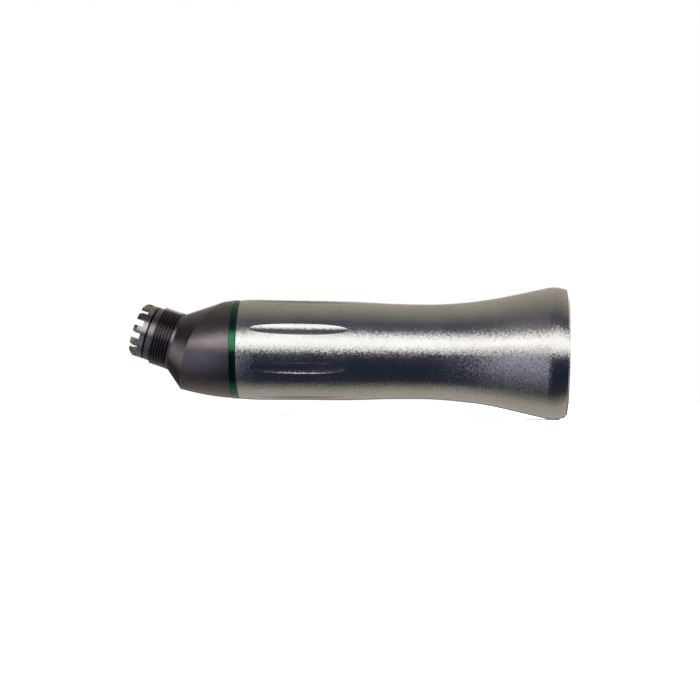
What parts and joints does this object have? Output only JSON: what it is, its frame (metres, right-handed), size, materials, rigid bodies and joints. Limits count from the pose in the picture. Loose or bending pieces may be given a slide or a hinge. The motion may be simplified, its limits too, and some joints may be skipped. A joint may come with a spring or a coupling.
{
  "type": "contra angle handpiece",
  "caption": "Shank of a speed-reducing contra angle handpiece: flared satin handle, green ring, dark bent neck with an outside thread and a pronged crown for its head.",
  "frame": {"origin": "centre of the motor socket's mouth, in the handle's rear face", "axes": "+X along the handle out of the motor socket, -X to the front, +Z the way the neck bends, +Y across"},
  "size_m": [0.0663, 0.02, 0.02],
  "materials": {
    "satin_steel": "satin bead-blasted",
    "dark_coated": "dark satin coating",
    "green_anodised": "glossy green anodised",
    "bright_steel": "bright turned",
    "liner_steel": "turned",
    "case_brass": "machined",
    "gear_steel": "hardened and ground",
    "bearing_steel": "polished",
    "cage": "phenolic",
    "spring_steel": "drawn wire",
    "seal": "matt"
  },
  "bodies": {
    "shank": {"handle_sleeve": "satin_steel", "socket_liner": "liner_steel", "latch_ring": "spring_steel", "input_bearing_housing": "case_brass", "output_bearing_carrier": "case_brass", "green_ring": "green_anodised", "angle_housing": "dark_coated", "sleeve_o_ring": "seal", "index_crown": "bright_steel", "ring_gear": "gear_steel", "input_outer_rings": "bearing_steel", "output_outer_rings": "bearing_steel", "neck_outer_rings": "bearing_steel"},
    "input_line": {"input_shaft": "gear_steel", "cross_pin": "bearing_steel", "input_inner_rings": "bearing_steel", "input_spacer": "liner_steel", "input_pinion": "gear_steel"},
    "dog": {"drive_dog": "gear_steel", "dog_spring": "spring_steel"},
    "input_cage_set": {"input_cages": "cage", "input_balls": "bearing_steel"},
    "carrier_one": {"stage_one_carrier": "gear_steel", "stage_one_planet_pins": "bearing_steel", "stage_two_pinion": "gear_steel"},
    "output_line": {"output_shaft": "gear_steel", "stage_two_planet_pins": "bearing_steel", "output_inner_rings": "bearing_steel", "output_spacer": "liner_steel", "drive_claw_gear": "gear_steel"},
    "output_cage_set": {"output_cages": "cage", "output_balls": "bearing_steel"},
    "neck_line": {"neck_shaft": "gear_steel", "driven_claw_gear": "gear_steel", "neck_inner_rings": "bearing_steel", "neck_spacer": "liner_steel", "output_gear": "gear_steel"},
    "neck_cage_set": {"neck_cages": "cage", "neck_balls": "bearing_steel"},
    "stage_one_planet_1": {"stage_one_planet_1": "gear_steel"},
    "stage_one_planet_2": {"stage_one_planet_2": "gear_steel"},
    "stage_one_planet_3": {"stage_one_planet_3": "gear_steel"},
    "stage_two_planet_1": {"stage_two_planet_1": "gear_steel"},
    "stage_two_planet_2": {"stage_two_planet_2": "gear_steel"},
    "stage_two_planet_3": {"stage_two_planet_3": "gear_steel"}
  },
  "joints": [
    {"name": "input_spin", "type": "hinge", "parent": "shank", "child": "input_line", "pos_m": [-0.025, 0, 0], "axis": [1, 0, 0], "continuous": true},
    {"name": "dog_slide", "type": "slide", "parent": "input_line", "child": "dog", "axis": [-1, 0, 0], "range_m": [0, 0.0012], "stiffness_N_per_m": 400, "springref_m": -0.001, "deforming": ["dog_spring"]},
    {"name": "input_cage_spin", "type": "hinge", "parent": "shank", "child": "input_cage_set", "pos_m": [-0.025, 0, 0], "axis": [1, 0, 0], "continuous": true},
    {"name": "carrier_one_spin", "type": "hinge", "parent": "shank", "child": "carrier_one", "pos_m": [-0.0345, 0, 0], "axis": [1, 0, 0], "continuous": true},
    {"name": "output_spin", "type": "hinge", "parent": "shank", "child": "output_line", "pos_m": [-0.045, 0, 0], "axis": [1, 0, 0], "continuous": true},
    {"name": "output_cage_spin", "type": "hinge", "parent": "shank", "child": "output_cage_set", "pos_m": [-0.045, 0, 0], "axis": [1, 0, 0], "continuous": true},
    {"name": "neck_spin", "type": "hinge", "parent": "shank", "child": "neck_line", "pos_m": [-0.0598, 0, 0.00124], "axis": [0.9511, 0, -0.309], "continuous": true},
    {"name": "neck_cage_spin", "type": "hinge", "parent": "shank", "child": "neck_cage_set", "pos_m": [-0.0598, 0, 0.00124], "axis": [0.9511, 0, -0.309], "continuous": true},
    {"name": "stage_one_planet_1_spin", "type": "hinge", "parent": "carrier_one", "child": "stage_one_planet_1", "pos_m": [-0.0323, 0, 0.0036], "axis": [1, 0, 0], "continuous": true},
    {"name": "stage_one_planet_2_spin", "type": "hinge", "parent": "carrier_one", "child": "stage_one_planet_2", "pos_m": [-0.0323, 0.00312, -0.0018], "axis": [1, 0, 0], "continuous": true},
    {"name": "stage_one_planet_3_spin", "type": "hinge", "parent": "carrier_one", "child": "stage_one_planet_3", "pos_m": [-0.0323, -0.00312, -0.0018], "axis": [1, 0, 0], "continuous": true},
    {"name": "stage_two_planet_1_spin", "type": "hinge", "parent": "output_line", "child": "stage_two_planet_1", "pos_m": [-0.0371, 0, 0.0036], "axis": [1, 0, 0], "continuous": true},
    {"name": "stage_two_planet_2_spin", "type": "hinge", "parent": "output_line", "child": "stage_two_planet_2", "pos_m": [-0.0371, 0.00312, -0.0018], "axis": [1, 0, 0], "continuous": true},
    {"name": "stage_two_planet_3_spin", "type": "hinge", "parent": "output_line", "child": "stage_two_planet_3", "pos_m": [-0.0371, -0.00312, -0.0018], "axis": [1, 0, 0], "continuous": true}
  ],
  "couplings": [
    {"joint": "input_cage_spin", "follows": "input_spin", "ratio": 0.40909},
    {"joint": "carrier_one_spin", "follows": "input_spin", "ratio": 0.25},
    {"joint": "output_spin", "follows": "input_spin", "ratio": 0.0625},
    {"joint": "output_cage_spin", "follows": "input_spin", "ratio": 0.025568},
    {"joint": "neck_spin", "follows": "input_spin", "ratio": 0.0625},
    {"joint": "neck_cage_spin", "follows": "input_spin", "ratio": 0.025436},
    {"joint": "stage_one_planet_1_spin", "follows": "input_spin", "ratio": -0.75},
    {"joint": "stage_one_planet_2_spin", "follows": "input_spin", "ratio": -0.75},
    {"joint": "stage_one_planet_3_spin", "follows": "input_spin", "ratio": -0.75},
    {"joint": "stage_two_planet_1_spin", "follows": "input_spin", "ratio": -0.1875},
    {"joint": "stage_two_planet_2_spin", "follows": "input_spin", "ratio": -0.1875},
    {"joint": "stage_two_planet_3_spin", "follows": "input_spin", "ratio": -0.1875}
  ]
}
